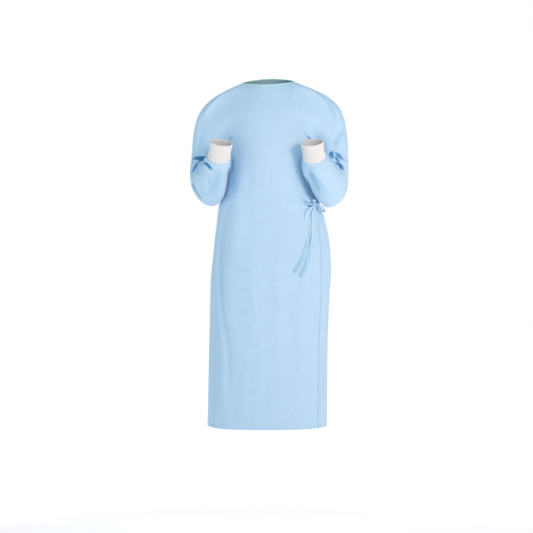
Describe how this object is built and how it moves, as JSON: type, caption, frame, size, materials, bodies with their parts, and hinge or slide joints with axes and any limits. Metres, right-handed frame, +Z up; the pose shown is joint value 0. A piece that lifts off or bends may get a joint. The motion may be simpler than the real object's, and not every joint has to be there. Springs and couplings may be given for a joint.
{
  "type": "surgical gown",
  "caption": "Long wrap-around surgical gown in its hollow worn shape: raglan sleeves bent at the elbow, knit cuffs, bound round neck, waist tie knotted at the wearer's left front.",
  "frame": {"origin": "middle of the neck opening, at the height of the neck points of the shoulders, where the wearer's neck holds the gown", "axes": "+Z up along the length of the gown, the front faces -Y, +X to the wearer's left"},
  "size_m": [0.5668, 0.3736, 1.2383],
  "materials": {
    "blue_cloth": "matt light blue nonwoven cloth with a soft sheen",
    "blue_tie": "the gown's nonwoven cloth folded into a narrow strip",
    "white_knit": "matt white rib knit",
    "mint_binding": "smooth pale mint binding strip"
  },
  "bodies": {
    "root": {"front_panel": "blue_cloth", "back_panel_right": "blue_cloth", "back_panel_left": "blue_cloth", "sleeve_right": "blue_cloth", "sleeve_left": "blue_cloth", "cuff_right": "white_knit", "cuff_left": "white_knit", "neck_binding": "mint_binding", "tie_front": "blue_tie", "tie_back": "blue_tie", "tie_knot": "blue_tie", "tie_loop_up": "blue_tie", "tie_loop_side": "blue_tie", "tie_tail_front": "blue_tie", "tie_tail_side": "blue_tie"}
  },
  "joints": []
}
